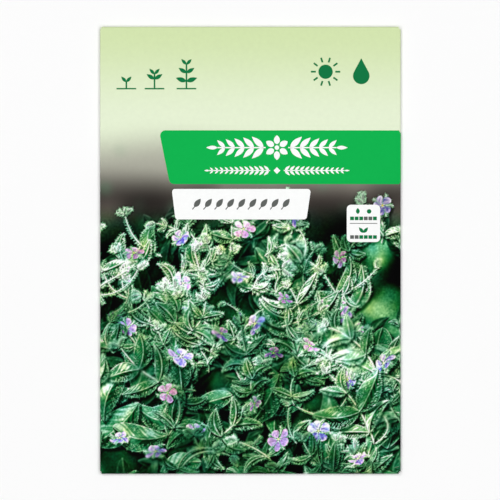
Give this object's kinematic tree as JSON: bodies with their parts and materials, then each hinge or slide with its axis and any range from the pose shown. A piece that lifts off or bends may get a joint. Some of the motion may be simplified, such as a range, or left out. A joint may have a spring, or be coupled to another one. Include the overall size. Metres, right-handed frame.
{
  "type": "borage seed packet",
  "caption": "Flat paper seed packet with a glued back panel and end flaps, lying on its back, with loose borage seeds inside that raise the low part of its front.",
  "frame": {"origin": "centre of the packet's outline, on the surface that it lies on", "axes": "+Y points to the packet's top edge, +X to the right of its printed front, and +Z out of the front"},
  "size_m": [0.08, 0.119, 0.0046],
  "materials": {
    "coated_paper": "satin coated paper, printed over its whole front",
    "seed_coat": "matte, ribbed, dark brown to black"
  },
  "bodies": {
    "root": {"envelope": "coated_paper", "seed_01": "seed_coat", "seed_02": "seed_coat", "seed_03": "seed_coat", "seed_04": "seed_coat", "seed_05": "seed_coat", "seed_06": "seed_coat", "seed_07": "seed_coat", "seed_08": "seed_coat", "seed_09": "seed_coat", "seed_10": "seed_coat", "seed_11": "seed_coat", "seed_12": "seed_coat", "seed_13": "seed_coat", "seed_14": "seed_coat", "seed_15": "seed_coat", "seed_16": "seed_coat", "seed_17": "seed_coat", "seed_18": "seed_coat", "seed_19": "seed_coat", "seed_20": "seed_coat", "seed_21": "seed_coat", "seed_22": "seed_coat", "seed_23": "seed_coat", "seed_24": "seed_coat", "seed_25": "seed_coat", "seed_26": "seed_coat", "seed_27": "seed_coat", "seed_28": "seed_coat", "seed_29": "seed_coat", "seed_30": "seed_coat", "seed_31": "seed_coat", "seed_32": "seed_coat", "seed_33": "seed_coat", "seed_34": "seed_coat", "seed_35": "seed_coat", "seed_36": "seed_coat", "seed_37": "seed_coat", "seed_38": "seed_coat", "seed_39": "seed_coat", "seed_40": "seed_coat", "seed_41": "seed_coat", "seed_42": "seed_coat", "seed_43": "seed_coat", "seed_44": "seed_coat", "seed_45": "seed_coat", "seed_46": "seed_coat", "seed_47": "seed_coat", "seed_48": "seed_coat", "seed_49": "seed_coat", "seed_50": "seed_coat"}
  },
  "joints": []
}
